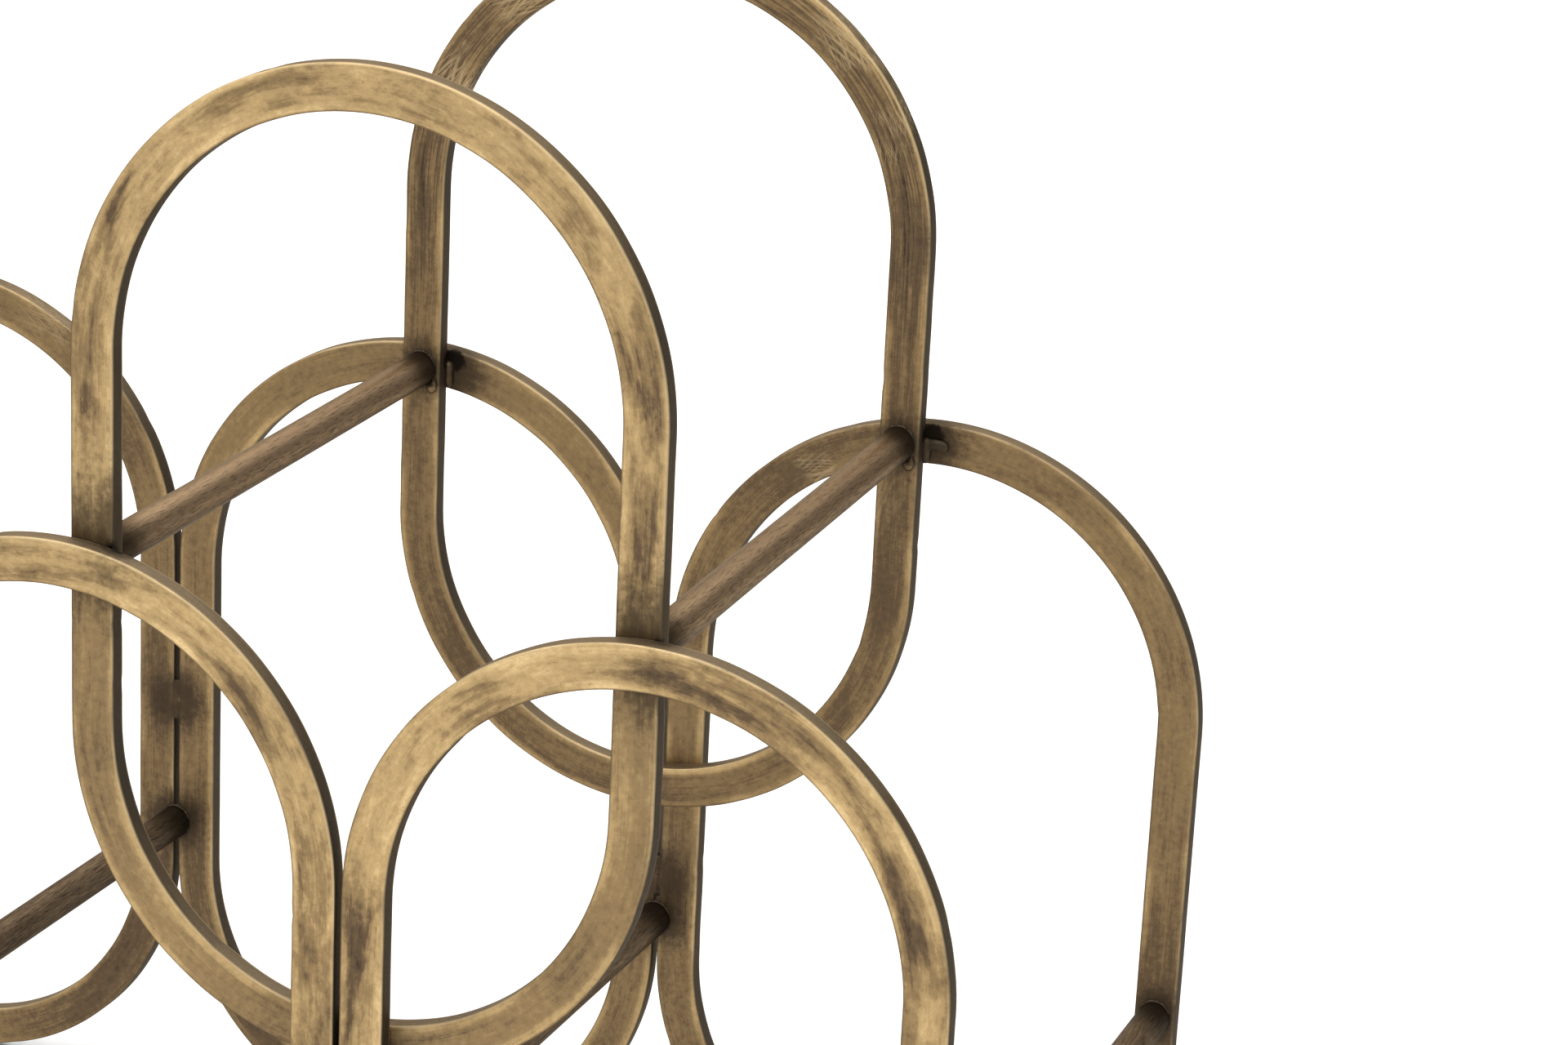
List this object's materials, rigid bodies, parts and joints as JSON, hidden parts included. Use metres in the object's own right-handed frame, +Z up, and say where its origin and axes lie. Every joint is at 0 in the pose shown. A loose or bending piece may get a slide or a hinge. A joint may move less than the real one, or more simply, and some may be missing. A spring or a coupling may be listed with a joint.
{
  "type": "bottle rack",
  "caption": "Freestanding two-tier bottle rack of tall rounded flat-bar rings in front and back frames, welded together and joined by round cross rods, in antique brass.",
  "frame": {"origin": "on the standing surface, under the middle of the rack", "axes": "+X along the row of rings, +Y from the front frame to the back frame, +Z up"},
  "size_m": [0.4602, 0.1536, 0.275],
  "materials": {
    "ring_brass": "burnished antique brass, brushed along the bar, with brown patina and polished edges",
    "rod_brass": "dark antique brass, drawn and brushed along the rod",
    "weld_brass": "dark heat-stained weld metal"
  },
  "bodies": {
    "root": {"front_lower_ring_1": "ring_brass", "front_lower_ring_2": "ring_brass", "front_lower_ring_3": "ring_brass", "front_lower_ring_4": "ring_brass", "front_upper_ring_1": "ring_brass", "front_upper_ring_2": "ring_brass", "back_lower_ring_1": "ring_brass", "back_lower_ring_2": "ring_brass", "back_lower_ring_3": "ring_brass", "back_lower_ring_4": "ring_brass", "back_upper_ring_1": "ring_brass", "back_upper_ring_2": "ring_brass", "lower_rod_1": "rod_brass", "lower_rod_2": "rod_brass", "lower_rod_3": "rod_brass", "lower_rod_4": "rod_brass", "lower_rod_5": "rod_brass", "upper_rod_1": "rod_brass", "upper_rod_2": "rod_brass", "upper_rod_3": "rod_brass", "upper_rod_4": "rod_brass", "lower_rod_1_front_weld": "weld_brass", "lower_rod_1_back_weld": "weld_brass", "lower_rod_2_front_weld": "weld_brass", "lower_rod_2_back_weld": "weld_brass", "lower_rod_3_front_weld": "weld_brass", "lower_rod_3_back_weld": "weld_brass", "lower_rod_4_front_weld": "weld_brass", "lower_rod_4_back_weld": "weld_brass", "lower_rod_5_front_weld": "weld_brass", "lower_rod_5_back_weld": "weld_brass", "upper_rod_1_front_weld": "weld_brass", "upper_rod_1_back_weld": "weld_brass", "upper_rod_2_front_weld": "weld_brass", "upper_rod_2_back_weld": "weld_brass", "upper_rod_3_front_weld": "weld_brass", "upper_rod_3_back_weld": "weld_brass", "upper_rod_4_front_weld": "weld_brass", "upper_rod_4_back_weld": "weld_brass", "front_crossing_weld_1": "weld_brass", "front_crossing_weld_2": "weld_brass", "front_crossing_weld_3": "weld_brass", "front_crossing_weld_4": "weld_brass", "front_seam_weld_1": "weld_brass", "front_seam_weld_2": "weld_brass", "front_seam_weld_3": "weld_brass", "back_crossing_weld_1": "weld_brass", "back_crossing_weld_2": "weld_brass", "back_crossing_weld_3": "weld_brass", "back_crossing_weld_4": "weld_brass", "back_seam_weld_1": "weld_brass", "back_seam_weld_2": "weld_brass", "back_seam_weld_3": "weld_brass"}
  },
  "joints": []
}
